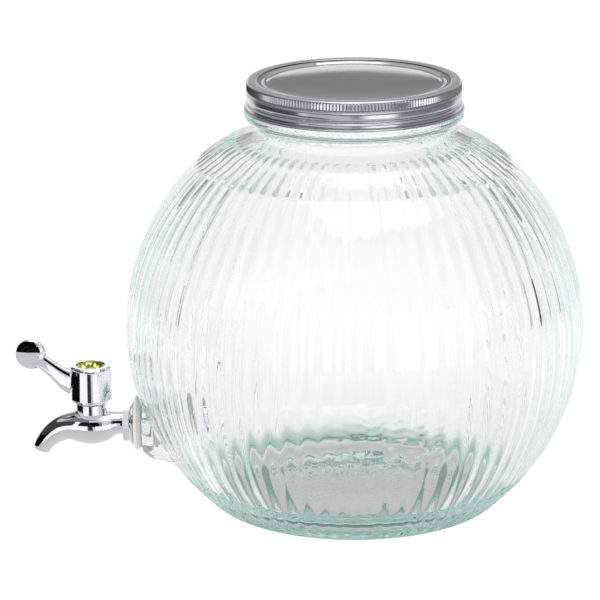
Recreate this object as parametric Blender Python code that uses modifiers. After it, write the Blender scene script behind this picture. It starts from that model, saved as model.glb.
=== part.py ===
"""A globe jar with a screwed lid and a lever tap: a ribbed glass vessel, a two-piece lid and a plug valve.

Metres, +Z up. The globe's axis is Z, its flat underside is z = 0, and the tap points to -Y.
"""

import math

import bmesh
import bpy
from mathutils import Matrix

MM = 0.001
GAP = 0.3 * MM  # clearance between pieces that touch on the real object

# Globe
GLOBE_R = 135 * MM  # over the crests of the ribs
GLOBE_Z = 106 * MM  # height of the globe's centre
WALL = 4.6 * MM
RIBS = 72
FLUTE_DEPTH = 1.5 * MM
FOOT_R = 79 * MM
FLOOR_Z = 9.6 * MM
SHOULDER_R = 69.2 * MM  # where the ribs begin
SHOULDER_Z = 219.4 * MM

# Neck and thread
RIM_Z = 250.7 * MM
NECK_BORE_R = 50.8 * MM
NECK_R = 58.3 * MM
BEAD_R = 64.1 * MM
BEAD_Z = 233.9 * MM
THREAD_PITCH = 6 * MM
THREAD_CREST_R = 60.4 * MM
THREAD_HALF = 1.1 * MM  # half the width of a thread at its root
THREAD_TURNS = 1.25
THREAD_Z = 240.6 * MM  # middle of the glass thread at its lower end

# Lid
LID_TOP_Z = 253.6 * MM
LID_FOOT_Z = 236.4 * MM
BAND_R = 62.3 * MM
BAND_FOOT_R = 64.1 * MM
SHEET = 0.6 * MM
BAND_TOP_BORE_R = 56.2 * MM
BAND_THREAD_CREST_R = 59.2 * MM
DISC_R = 60.6 * MM
PANEL_R = 52.9 * MM
PANEL_DROP = 1.3 * MM
GASKET_INNER_R = 53.8 * MM
GASKET_OUTER_R = 58 * MM
GASKET_THICKNESS = 0.9 * MM

# Tap, on a level axis at this height
TAP_Z = 44 * MM
BOSS_FACE_Y = -126.4 * MM
BOSS_FACE_R = 17 * MM
BOSS_ROOT_R = 24 * MM
RECESS_Y = -119 * MM  # flat seat of the inner washer
RECESS_R = 18.4 * MM
GLASS_HOLE_R = 9 * MM
SHANK_R = 7.9 * MM
SHANK_END_Y = -103 * MM
SHANK_BORE_R = 4.5 * MM
OUTER_WASHER_R = 16.4 * MM
OUTER_WASHER_FRONT_Y = -131.7 * MM
FLANGE_R = 12.8 * MM
FLANGE_FRONT_Y = -134.2 * MM
HEX_R = 10.9 * MM  # over the corners
HEX_FRONT_Y = -138.2 * MM
INNER_WASHER_R = 15 * MM
INNER_WASHER_THICKNESS = 3 * MM
SLIP_WASHER_R = 13.5 * MM
SLIP_WASHER_THICKNESS = 1 * MM
NUT_R = 13.6 * MM  # over the corners
NUT_THICKNESS = 7 * MM

# Valve and handle, on an upright axis
VALVE_Y = -157 * MM
VALVE_BOSS_R = 9.7 * MM
VALVE_BOSS_TOP_Z = 57.1 * MM
VALVE_BORE_R = 7.1 * MM
VALVE_BORE_FOOT_Z = 35.4 * MM
PLUG_R = 6.8 * MM
PLUG_FOOT_Z = 35.8 * MM
PLUG_SHOULDER_Z = 51 * MM
PLUG_PORT_R = 3.6 * MM
RING_SECTION_R = 0.65 * MM
RING_LOWER_Z = 38 * MM
RING_UPPER_Z = 49.3 * MM
STEM_R = 4.2 * MM
STEM_SQUARE = 5.6 * MM
STEM_SQUARE_FOOT_Z = 61 * MM
STEM_TOP_Z = 69 * MM
BONNET_R = 7.7 * MM
BONNET_TOP_Z = 56.6 * MM
HANDLE_FOOT_Z = 57.6 * MM
HANDLE_FOOT_R = 10.5 * MM
HANDLE_SKIRT_Z = 59.6 * MM
HANDLE_SKIRT_R = 13 * MM
HANDLE_NECK_R = 12.3 * MM
HANDLE_TOP_Z = 80.2 * MM
HANDLE_WEB_Z = 70.3 * MM  # underside of the web that the screw pulls down
HANDLE_RECESS_Z = 72.3 * MM
HANDLE_RECESS_R = 8.7 * MM
KNOB_Y = -192.2 * MM
KNOB_Z = 87.0 * MM
KNOB_R = 9.2 * MM
KNOB_HALF = 4.6 * MM
ARM_HALF = 3.6 * MM
SCREW_R = 1.9 * MM
SCREW_HEAD_R = 4 * MM
CAP_R = 8.4 * MM
CAP_RIM_Z = 79.6 * MM

# Middle line of the spout's casting: y, z and radius, from the hexagon to the mouth
SPOUT_LINE = [
    (-136.0 * MM, 44.0 * MM, 7.2 * MM),
    (-143.0 * MM, 44.0 * MM, 7.3 * MM),
    (-150.0 * MM, 42.6 * MM, 9.9 * MM),
    (-157.0 * MM, 42.2 * MM, 11.1 * MM),
    (-165.0 * MM, 42.4 * MM, 10.0 * MM),
    (-172.0 * MM, 41.6 * MM, 8.2 * MM),
    (-178.2 * MM, 38.6 * MM, 7.0 * MM),
    (-183.3 * MM, 34.4 * MM, 6.1 * MM),
    (-186.4 * MM, 30.4 * MM, 5.5 * MM),
    (-187.4 * MM, 27.6 * MM, 5.2 * MM),
]
SPOUT_BORE_START = 4  # the outlet passage begins inside the valve bore and leaves at the mouth
SPOUT_BORE_R = 4.1 * MM

CUTTER_LENGTH = 60 * MM
COARSE = 24
ROUND = 32
WIDE = 48


def clear_scene():
    for obj in list(bpy.data.objects):
        bpy.data.objects.remove(obj)


def make_collection(name, for_cutters=False):
    collection = bpy.data.collections.new(name)
    bpy.context.scene.collection.children.link(collection)
    collection.hide_render = for_cutters
    return collection


def make_material(name, color, metallic, roughness, alpha=1.0):
    material = bpy.data.materials.new(name)
    material.use_nodes = True
    shader = material.node_tree.nodes["Principled BSDF"]
    shader.inputs["Base Color"].default_value = (*color, 1.0)
    shader.inputs["Metallic"].default_value = metallic
    shader.inputs["Roughness"].default_value = roughness
    shader.inputs["Alpha"].default_value = alpha
    material.diffuse_color = (*color, alpha)
    return material


def add_object(name, data, collection, material=None):
    obj = bpy.data.objects.new(name, data)
    collection.objects.link(obj)
    if material:
        data.materials.append(material)
    return obj


def hide_cutter(obj):
    obj.hide_render = True
    obj.display_type = "WIRE"


def arc(center_r, center_z, radius, start_deg, end_deg, count):
    """Points (r, z) on an arc, angles counted from +r towards +z."""
    angles = [math.radians(start_deg + (end_deg - start_deg) * i / count) for i in range(count + 1)]
    return [(center_r + radius * math.cos(a), center_z + radius * math.sin(a)) for a in angles]


def profile_mesh(name, points, closed):
    mesh = bpy.data.meshes.new(name)
    edges = [(i, i + 1) for i in range(len(points) - 1)]
    if closed:
        edges.append((len(points) - 1, 0))
    mesh.from_pydata([(r, 0, z) for r, z in points], edges, [])
    return mesh


def add_screw(obj, steps, angle=math.tau, rise=0.0):
    screw = obj.modifiers.new("Turn", "SCREW")
    screw.axis = "Z"
    screw.angle = angle
    screw.screw_offset = rise
    screw.steps = steps
    screw.render_steps = steps
    screw.use_merge_vertices = rise == 0
    screw.merge_threshold = 0.01 * MM
    screw.use_smooth_shade = False


def turned(name, points, collection, material=None, steps=ROUND, closed=False):
    """A turned solid about its own Z axis. The profile runs down its outer side, and closed makes a ring."""
    obj = add_object(name, profile_mesh(name, points, closed), collection, material)
    add_screw(obj, steps)
    return obj


def applied(obj):
    """The object with its modifiers made into its mesh."""
    graph = bpy.context.evaluated_depsgraph_get()
    mesh = bpy.data.meshes.new_from_object(obj.evaluated_get(graph))
    obj.modifiers.clear()
    obj.data = mesh
    return obj


def curve_to_mesh(obj):
    """A curve object made into a closed mesh object of the same name and place."""
    name = obj.name
    collection = obj.users_collection[0]
    bpy.context.view_layer.update()
    graph = bpy.context.evaluated_depsgraph_get()
    mesh = bpy.data.meshes.new_from_object(obj.evaluated_get(graph))
    matrix = obj.matrix_world.copy()
    bpy.data.objects.remove(obj)
    shape = bmesh.new()
    shape.from_mesh(mesh)
    bmesh.ops.remove_doubles(shape, verts=shape.verts, dist=0.001 * MM)
    bmesh.ops.recalc_face_normals(shape, faces=shape.faces)
    shape.to_mesh(mesh)
    shape.free()
    made = add_object(name, mesh, collection)
    made.name = name
    made.matrix_world = matrix
    return made


def boolean(target, tool, operation):
    modifier = target.modifiers.new(f"{operation.title()} {tool.name}", "BOOLEAN")
    modifier.operation = operation
    modifier.solver = "EXACT"
    modifier.object = tool
    hide_cutter(tool)


def cylinder(name, radius, length, collection, sides=ROUND, material=None, top_radius=None):
    """A cylinder, prism or cone about its own Z axis, with its foot at its origin."""
    shape = bmesh.new()
    bmesh.ops.create_cone(
        shape,
        cap_ends=True,
        segments=sides,
        radius1=radius,
        radius2=radius if top_radius is None else top_radius,
        depth=length,
    )
    bmesh.ops.translate(shape, verts=shape.verts, vec=(0, 0, length / 2))
    mesh = bpy.data.meshes.new(name)
    shape.to_mesh(mesh)
    shape.free()
    return add_object(name, mesh, collection, material)


def box(name, size, center, collection):
    shape = bmesh.new()
    bmesh.ops.create_cube(shape, size=1, matrix=Matrix.Translation(center) @ Matrix.Diagonal((*size, 1)))
    mesh = bpy.data.meshes.new(name)
    shape.to_mesh(mesh)
    shape.free()
    return add_object(name, mesh, collection)


def helix(name, root_r, crest_r, foot_z, collection):
    """A closed thread of trapezoid section, one right-handed ridge rising from foot_z."""
    half_crest = THREAD_HALF * 0.45
    section = [
        (crest_r, half_crest),
        (crest_r, -half_crest),
        (root_r, -THREAD_HALF),
        (root_r, THREAD_HALF),
    ]
    if crest_r < root_r:
        section.reverse()
    obj = add_object(name, profile_mesh(name, section, True), collection)
    turns = THREAD_TURNS
    add_screw(obj, int(WIDE * turns), math.tau * turns, THREAD_PITCH * turns)
    applied(obj)
    shape = bmesh.new()
    shape.from_mesh(obj.data)
    bmesh.ops.holes_fill(shape, edges=shape.edges, sides=4)
    bmesh.ops.recalc_face_normals(shape, faces=shape.faces)
    shape.to_mesh(obj.data)
    shape.free()
    obj.location.z = foot_z
    return obj


def along_tap(obj, y=0.0):
    """Lays an object made about +Z down on the tap's axis, so that its +Z looks out along -Y from y."""
    obj.rotation_euler = (math.radians(90), 0, 0)
    obj.location = (0, y, TAP_Z)
    return obj


def on_valve(obj, z=0.0):
    obj.location = (0, VALVE_Y, z)
    return obj


def globe_body(collection):
    """The ribbed solid below the shoulder, with shallow flutes between the crests."""
    profile = [(0, SHOULDER_Z + 0.6 * MM), (60 * MM, SHOULDER_Z + 0.6 * MM), (SHOULDER_R, SHOULDER_Z)]
    profile.append((76 * MM, 216.0 * MM))
    profile += arc(0, GLOBE_Z, GLOBE_R, 50, -50, 10)
    profile += [(84 * MM, 0.9 * MM), (FOOT_R, 0), (0, 0)]
    obj = applied(turned("globe_body", profile, collection, steps=2 * RIBS))
    fade_top = 76 * MM
    fade_foot = 86 * MM
    for vertex in obj.data.vertices:
        radius = math.hypot(vertex.co.x, vertex.co.y)
        column = round(math.atan2(vertex.co.y, vertex.co.x) / math.tau * 2 * RIBS)
        upper = vertex.co.z > GLOBE_Z
        fluted = radius >= (fade_top if upper else fade_foot) - 0.1 * MM
        if column % 2 and fluted:
            depth = FLUTE_DEPTH * min(1.0, radius / GLOBE_R + 0.1)
            vertex.co.x *= 1 - depth / radius
            vertex.co.y *= 1 - depth / radius
    return obj


def neck_solid(collection):
    profile = [
        (0, RIM_Z),
        (57.3 * MM, RIM_Z),
        (NECK_R, RIM_Z - 1 * MM),
        (NECK_R, BEAD_Z + 2.6 * MM),
        (BEAD_R - 0.8 * MM, BEAD_Z + 1.5 * MM),
        (BEAD_R, BEAD_Z),
        (BEAD_R - 0.8 * MM, BEAD_Z - 1.4 * MM),
        (57.6 * MM, BEAD_Z - 3 * MM),
        (56.2 * MM, 228.2 * MM),
        (57.6 * MM, 225.4 * MM),
        (61.0 * MM, 222.6 * MM),
        (66.0 * MM, 220.4 * MM),
        (68.6 * MM, 218.6 * MM),
        (60.0 * MM, 213.0 * MM),
        (0, 213.0 * MM),
    ]
    return turned("neck_solid", profile, collection, steps=WIDE)


def cavity(collection):
    inner_r = GLOBE_R - WALL
    profile = [(0, RIM_Z + 5 * MM), (NECK_BORE_R, RIM_Z + 5 * MM), (NECK_BORE_R, 226 * MM)]
    profile += [(54 * MM, 220.5 * MM), (62 * MM, 217.0 * MM), (72 * MM, 212.6 * MM)]
    profile += arc(0, GLOBE_Z, inner_r, 48, -41, 9)
    profile += [(86 * MM, 13.6 * MM), (72 * MM, 10.4 * MM), (0, FLOOR_Z)]
    return turned("cavity", profile, collection, steps=WIDE)


def tap_boss(cutters):
    """A stub on the globe's side that ends in a flat face square to the tap's axis."""
    face = -BOSS_FACE_Y
    profile = [
        (0, face),
        (BOSS_FACE_R, face),
        (BOSS_FACE_R + 2.6 * MM, face - 2.2 * MM),
        (BOSS_ROOT_R - 1.6 * MM, face - 8 * MM),
        (BOSS_ROOT_R, face - 18 * MM),
        (BOSS_ROOT_R, 60 * MM),
        (0, 60 * MM),
    ]
    return along_tap(turned("tap_boss", profile, cutters))


def glass_vessel(parts, cutters, material):
    vessel = globe_body(parts)
    vessel.name = "glass_vessel"
    vessel.data.materials.clear()
    vessel.data.materials.append(material)
    boolean(vessel, neck_solid(cutters), "UNION")
    boolean(vessel, tap_boss(cutters), "UNION")
    boolean(vessel, cavity(cutters), "DIFFERENCE")
    pad_length = RECESS_Y - BOSS_FACE_Y - 1 * MM
    pad = cylinder("washer_pad", RECESS_R - 0.6 * MM, pad_length + 1 * MM, cutters)
    boolean(vessel, along_tap(pad, RECESS_Y), "UNION")
    recess = cylinder("inner_recess", RECESS_R, CUTTER_LENGTH, cutters)
    boolean(vessel, along_tap(recess, RECESS_Y + CUTTER_LENGTH), "DIFFERENCE")
    spot = cylinder("spot_face", BOSS_FACE_R + 0.6 * MM, 20 * MM, cutters)
    boolean(vessel, along_tap(spot, BOSS_FACE_Y), "DIFFERENCE")
    hole = cylinder("tap_hole", GLASS_HOLE_R, CUTTER_LENGTH, cutters)
    boolean(vessel, along_tap(hole, -90 * MM), "DIFFERENCE")
    thread = helix("neck_thread", NECK_R - 1.2 * MM, THREAD_CREST_R, THREAD_Z, cutters)
    boolean(vessel, thread, "UNION")
    return vessel


def lid_band(parts, cutters, material):
    """Thin sheet: turned-in top rim, grip band, a rolled groove and a rolled foot."""
    outer = [
        (BAND_TOP_BORE_R, LID_TOP_Z - SHEET),
        (BAND_TOP_BORE_R, LID_TOP_Z),
        (BAND_R - 1.5 * MM, LID_TOP_Z),
        (BAND_R, LID_TOP_Z - 1.2 * MM),
        (BAND_R, 247.4 * MM),
        (BAND_R + 0.4 * MM, 243.0 * MM),
        (BAND_R - 0.2 * MM, 241.2 * MM),
        (BAND_R + 0.5 * MM, 239.6 * MM),
        (BAND_FOOT_R, LID_FOOT_Z + 1 * MM),
        (BAND_FOOT_R, LID_FOOT_Z),
        (BAND_FOOT_R - 1.1 * MM, LID_FOOT_Z),
    ]
    inner = [
        (BAND_R - SHEET, 239.6 * MM),
        (BAND_R - SHEET, LID_TOP_Z - 1.6 * MM),
        (BAND_R - 2 * MM, LID_TOP_Z - SHEET),
    ]
    band = applied(turned("lid_band", outer + inner, parts, material, steps=WIDE, closed=True))
    foot_z = THREAD_Z - 2 * THREAD_HALF - 0.4 * MM
    thread = helix("band_thread", BAND_R - 0.5 * SHEET, BAND_THREAD_CREST_R, foot_z, cutters)
    boolean(band, thread, "UNION")
    return band


def lid_disc(parts, material):
    top = LID_TOP_Z - SHEET - GAP
    panel = top - PANEL_DROP
    profile = [
        (0, panel),
        (PANEL_R - 1.2 * MM, panel),
        (PANEL_R, top),
        (DISC_R, top),
        (DISC_R, top - SHEET),
        (PANEL_R + 0.5 * MM, top - SHEET),
        (PANEL_R - 0.9 * MM, panel - SHEET),
        (0, panel - SHEET),
    ]
    return turned("lid_disc", profile, parts, material, steps=WIDE)


def lid_gasket(parts, material):
    top = LID_TOP_Z - 2 * SHEET - 2 * GAP
    foot = top - GASKET_THICKNESS
    points = [(GASKET_OUTER_R, top), (GASKET_OUTER_R, foot), (GASKET_INNER_R, foot), (GASKET_INNER_R, top)]
    return turned("lid_gasket", points, parts, material, steps=WIDE, closed=True)


def spout_curve(name, points, collection):
    """A round casting or passage along the spout's middle line, with a radius at each point."""
    curve = bpy.data.curves.new(name, "CURVE")
    curve.dimensions = "3D"
    curve.bevel_depth = 1.0
    curve.bevel_resolution = 4
    curve.use_fill_caps = True
    spline = curve.splines.new("POLY")
    spline.points.add(len(points) - 1)
    for point, (y, z, radius) in zip(spline.points, points):
        point.co = (0, y, z, 1)
        point.radius = radius
    return curve_to_mesh(add_object(name, curve, collection))


def tap_body(parts, cutters, material):
    body = spout_curve("tap_body", SPOUT_LINE, parts)
    body.data.materials.append(material)
    boss = turned(
        "valve_boss",
        [
            (0, VALVE_BOSS_TOP_Z),
            (VALVE_BOSS_R, VALVE_BOSS_TOP_Z),
            (VALVE_BOSS_R, 49.5 * MM),
            (VALVE_BOSS_R - 2 * MM, 46 * MM),
            (0, 44 * MM),
        ],
        cutters,
    )
    boolean(body, on_valve(boss), "UNION")
    shank = turned(
        "shank",
        [
            (0, 137 * MM),
            (6.4 * MM, 137 * MM),
            (9 * MM, -FLANGE_FRONT_Y),
            (FLANGE_R - 1.4 * MM, -FLANGE_FRONT_Y),
            (FLANGE_R, -FLANGE_FRONT_Y - 1.4 * MM),
            (FLANGE_R, -OUTER_WASHER_FRONT_Y + GAP),
            (SHANK_R, -OUTER_WASHER_FRONT_Y + GAP),
            (SHANK_R, -SHANK_END_Y + 1 * MM),
            (SHANK_R - 1 * MM, -SHANK_END_Y),
            (0, -SHANK_END_Y),
        ],
        cutters,
    )
    boolean(body, along_tap(shank), "UNION")
    hexagon = cylinder("hexagon", HEX_R, FLANGE_FRONT_Y - HEX_FRONT_Y + 1 * MM, cutters, sides=6)
    boolean(body, along_tap(hexagon, FLANGE_FRONT_Y + 1 * MM), "UNION")
    bore = cylinder("shank_bore", SHANK_BORE_R, CUTTER_LENGTH, cutters, sides=COARSE)
    boolean(body, along_tap(bore, -95 * MM), "DIFFERENCE")
    passage_line = [(y, z, SPOUT_BORE_R) for y, z, _ in SPOUT_LINE[SPOUT_BORE_START - 1 :]]
    passage_line.append((SPOUT_LINE[-1][0] - 0.4 * MM, SPOUT_LINE[-1][1] - 3 * MM, SPOUT_BORE_R))
    boolean(body, spout_curve("outlet_passage", passage_line, cutters), "DIFFERENCE")
    valve_bore = turned(
        "valve_bore",
        [
            (0, VALVE_BOSS_TOP_Z + 2 * MM),
            (BONNET_R + GAP, VALVE_BOSS_TOP_Z + 2 * MM),
            (BONNET_R + GAP, PLUG_SHOULDER_Z + 0.6 * MM),
            (VALVE_BORE_R, PLUG_SHOULDER_Z + 0.6 * MM),
            (VALVE_BORE_R, VALVE_BORE_FOOT_Z),
            (0, VALVE_BORE_FOOT_Z),
        ],
        cutters,
    )
    boolean(body, on_valve(valve_bore), "DIFFERENCE")
    return body


def flat_ring(name, inner_r, outer_r, thickness, parts, material, steps=ROUND, bevel=0.0):
    points = [
        (outer_r - bevel, thickness),
        (outer_r, thickness - bevel),
        (outer_r, bevel),
        (outer_r - bevel, 0),
        (inner_r, 0),
        (inner_r, thickness),
    ]
    if not bevel:
        points = [points[0], points[3], points[4], points[5]]
    return turned(name, points, parts, material, steps, closed=True)


def outer_washer(parts, material):
    """Bevelled towards the glass, with its sharp edge near the flange."""
    back = -BOSS_FACE_Y + GAP
    front = -OUTER_WASHER_FRONT_Y
    points = [
        (OUTER_WASHER_R - 1.6 * MM, front),
        (OUTER_WASHER_R, front - 1.6 * MM),
        (OUTER_WASHER_R - 2 * MM, back),
        (SHANK_R + GAP, back),
        (SHANK_R + GAP, front),
    ]
    return along_tap(turned("outer_washer", points, parts, material, closed=True))


def clamp_stack(parts, materials):
    """The inner washer, slip washer and nut, one behind the other on the shank."""
    hole_r = SHANK_R + GAP
    silicone = materials["silicone"]
    thick = INNER_WASHER_THICKNESS
    inner = flat_ring("inner_washer", hole_r, INNER_WASHER_R, thick, parts, silicone, bevel=0.6 * MM)
    inner_y = RECESS_Y + GAP + thick
    along_tap(inner, inner_y)
    slip = flat_ring("slip_washer", hole_r, SLIP_WASHER_R, SLIP_WASHER_THICKNESS, parts, materials["nut"])
    slip_y = inner_y + GAP + SLIP_WASHER_THICKNESS
    along_tap(slip, slip_y)
    nut = cylinder("shank_nut", NUT_R, NUT_THICKNESS, parts, sides=6, material=materials["nut"])
    along_tap(nut, slip_y + GAP + NUT_THICKNESS)
    return nut


def shank_nut_bore(nut, cutters):
    bore = cylinder("nut_bore", SHANK_R + GAP, 30 * MM, cutters)
    boolean(nut, along_tap(bore, -95 * MM), "DIFFERENCE")


def o_ring(name, z, parts, material):
    ring_r = VALVE_BORE_R - 0.15 * MM - RING_SECTION_R
    points = arc(ring_r, 0, RING_SECTION_R, 90, -210, 5)
    return on_valve(turned(name, points, parts, material, steps=COARSE, closed=True), z)


def valve_plug(parts, cutters, material):
    """Closed at rest: its cross hole lies along X, square to the shank's bore."""
    groove_r = VALVE_BORE_R - 0.35 * MM - 2 * RING_SECTION_R
    groove_half = RING_SECTION_R + 0.25 * MM
    profile = [(0, STEM_TOP_Z), (STEM_R, STEM_TOP_Z), (STEM_R, PLUG_SHOULDER_Z), (PLUG_R, PLUG_SHOULDER_Z)]
    for z in (RING_UPPER_Z, RING_LOWER_Z):
        profile += [
            (PLUG_R, z + groove_half),
            (groove_r, z + groove_half),
            (groove_r, z - groove_half),
            (PLUG_R, z - groove_half),
        ]
    profile += [(PLUG_R, PLUG_FOOT_Z), (0, PLUG_FOOT_Z)]
    plug = on_valve(turned("valve_plug", profile, parts, material, steps=COARSE))
    port = cylinder("plug_port", PLUG_PORT_R, 30 * MM, cutters, sides=COARSE)
    port.rotation_euler = (0, math.radians(90), 0)
    port.location = (-15 * MM, VALVE_Y, TAP_Z)
    boolean(plug, port, "DIFFERENCE")
    for side in (1, -1):
        for across in (True, False):
            offset = side * (STEM_SQUARE / 2 + 5 * MM)
            middle_z = STEM_SQUARE_FOOT_Z + 9 * MM
            center = (offset, VALVE_Y, middle_z) if across else (0, VALVE_Y + offset, middle_z)
            size = (10 * MM, 24 * MM, 18 * MM) if across else (24 * MM, 10 * MM, 18 * MM)
            boolean(plug, box(f"stem_flat_{side}_{across}", size, center, cutters), "DIFFERENCE")
    pilot = cylinder("stem_pilot", SCREW_R + GAP, 20 * MM, cutters, sides=16)
    boolean(plug, on_valve(pilot, STEM_TOP_Z - 7 * MM), "DIFFERENCE")
    return plug


def bonnet_nut(parts, cutters, material):
    points = [
        (BONNET_R, BONNET_TOP_Z),
        (BONNET_R, PLUG_SHOULDER_Z + 1.3 * MM),
        (STEM_R + GAP, PLUG_SHOULDER_Z + 1.3 * MM),
        (STEM_R + GAP, BONNET_TOP_Z),
    ]
    nut = on_valve(turned("bonnet_nut", points, parts, material, closed=True))
    slot = box("bonnet_slot", (30 * MM, 1.6 * MM, 1.6 * MM), (0, VALVE_Y, BONNET_TOP_Z), cutters)
    boolean(nut, slot, "DIFFERENCE")
    return nut


def thrust_washer(parts, material):
    outer_r = PLUG_R - 0.2 * MM
    ring = flat_ring("thrust_washer", STEM_R + GAP, outer_r, 0.6 * MM, parts, material, COARSE)
    return on_valve(ring, PLUG_SHOULDER_Z + 0.3 * MM)


def lever_outline():
    """Upper edge of the arm from the cap out to the knob, then its lower edge back, as (y, z)."""
    upper = [(-150, 77.6), (-169.4, 78.0), (-174.0, 79.6), (-178.6, 82.2), (-183.4, 87.2)]
    lower = [(-189.0, 79.2), (-184.4, 75.4), (-178.2, 70.6), (-172.4, 65.4), (-168.6, 60.6), (-150, 60.6)]
    return [(y * MM, z * MM) for y, z in upper + lower]


def tap_handle(parts, cutters, material):
    profile = [
        (0, HANDLE_TOP_Z),
        (HANDLE_NECK_R - 1.4 * MM, HANDLE_TOP_Z),
        (HANDLE_NECK_R - 0.3 * MM, HANDLE_TOP_Z - 0.6 * MM),
        (HANDLE_NECK_R, HANDLE_TOP_Z - 1.8 * MM),
        (HANDLE_SKIRT_R, HANDLE_SKIRT_Z),
        (HANDLE_FOOT_R, HANDLE_FOOT_Z),
        (0, HANDLE_FOOT_Z),
    ]
    handle = on_valve(turned("tap_handle", profile, parts, material))
    outline = lever_outline()
    curve = bpy.data.curves.new("arm", "CURVE")
    curve.dimensions = "2D"
    curve.fill_mode = "BOTH"
    curve.extrude = ARM_HALF - 0.9 * MM
    curve.bevel_depth = 0.9 * MM
    curve.bevel_resolution = 1
    curve.offset = -0.9 * MM
    spline = curve.splines.new("POLY")
    spline.points.add(len(outline) - 1)
    spline.use_cyclic_u = True
    for point, (y, z) in zip(spline.points, outline):
        point.co = (y, z, 0, 1)
    arm = add_object("arm", curve, cutters)
    arm.matrix_world = Matrix(((0, 0, 1, 0), (1, 0, 0, 0), (0, 1, 0, 0), (0, 0, 0, 1)))
    arm = curve_to_mesh(arm)
    boolean(handle, arm, "UNION")
    knob = turned(
        "knob",
        [
            (0, KNOB_HALF + 0.4 * MM),
            (KNOB_R - 2.4 * MM, KNOB_HALF),
            (KNOB_R - 0.7 * MM, KNOB_HALF - 0.7 * MM),
            (KNOB_R, KNOB_HALF - 2.4 * MM),
            (KNOB_R, 2.4 * MM - KNOB_HALF),
            (KNOB_R - 0.7 * MM, 0.7 * MM - KNOB_HALF),
            (KNOB_R - 2.4 * MM, -KNOB_HALF),
            (0, -KNOB_HALF - 0.4 * MM),
        ],
        cutters,
        steps=COARSE,
    )
    knob.rotation_euler = (0, math.radians(90), 0)
    knob.location = (0, KNOB_Y, KNOB_Z)
    boolean(handle, knob, "UNION")
    hollow = turned(
        "handle_hollow",
        [
            (0, STEM_SQUARE_FOOT_Z),
            (BONNET_R + 0.5 * MM, STEM_SQUARE_FOOT_Z),
            (BONNET_R + 0.5 * MM, HANDLE_FOOT_Z - 2 * MM),
            (0, HANDLE_FOOT_Z - 2 * MM),
        ],
        cutters,
    )
    boolean(handle, on_valve(hollow), "DIFFERENCE")
    side = STEM_SQUARE + 2 * GAP
    height = HANDLE_WEB_Z - STEM_SQUARE_FOOT_Z + 1 * MM
    center = (0, VALVE_Y, HANDLE_WEB_Z - height / 2)
    boolean(handle, box("stem_socket", (side, side, height), center, cutters), "DIFFERENCE")
    screw_hole = cylinder("screw_hole", SCREW_R + GAP, 10 * MM, cutters, sides=16)
    boolean(handle, on_valve(screw_hole, HANDLE_WEB_Z - 2 * MM), "DIFFERENCE")
    top_recess = cylinder("top_recess", HANDLE_RECESS_R, 12 * MM, cutters)
    boolean(handle, on_valve(top_recess, HANDLE_RECESS_Z), "DIFFERENCE")
    return handle


def handle_screw(parts, cutters, material):
    seat = HANDLE_RECESS_Z + 1.2 * MM
    profile = [
        (0, seat + 1.7 * MM),
        (SCREW_HEAD_R - 1 * MM, seat + 1.7 * MM),
        (SCREW_HEAD_R, seat + 0.8 * MM),
        (SCREW_HEAD_R, seat),
        (SCREW_R, seat),
        (SCREW_R, STEM_TOP_Z - 6 * MM),
        (0, STEM_TOP_Z - 6.6 * MM),
    ]
    screw = on_valve(turned("handle_screw", profile, parts, material, steps=16))
    slot = box("screw_slot", (12 * MM, 1 * MM, 1.6 * MM), (0, VALVE_Y, seat + 1.7 * MM), cutters)
    boolean(screw, slot, "DIFFERENCE")
    return screw


def spring_washer(parts, cutters, material):
    """A split ring under the screw's head."""
    inner_r = SCREW_R + 0.4 * MM
    outer_r = SCREW_HEAD_R - 0.3 * MM
    ring = flat_ring("spring_washer", inner_r, outer_r, 0.6 * MM, parts, material, COARSE)
    on_valve(ring, HANDLE_RECESS_Z + GAP)
    split = box("washer_split", (6 * MM, 0.7 * MM, 4 * MM), (3.4 * MM, VALVE_Y, HANDLE_RECESS_Z), cutters)
    boolean(ring, split, "DIFFERENCE")
    return ring


def handle_cap(parts, material):
    """A dished disc pressed into the top of the handle, with a rim and a flat centre."""
    profile = [
        (0, CAP_RIM_Z - 2.4 * MM),
        (CAP_R - 3.6 * MM, CAP_RIM_Z - 2.4 * MM),
        (CAP_R - 1.0 * MM, CAP_RIM_Z),
        (CAP_R, CAP_RIM_Z),
        (CAP_R, CAP_RIM_Z - 3.6 * MM),
        (0, CAP_RIM_Z - 3.6 * MM),
    ]
    return on_valve(turned("handle_cap", profile, parts, material, steps=COARSE))


def shade(parts):
    for obj in parts.objects:
        obj.data.shade_smooth()
        obj.data.set_sharp_from_angle(angle=math.radians(30))


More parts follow.
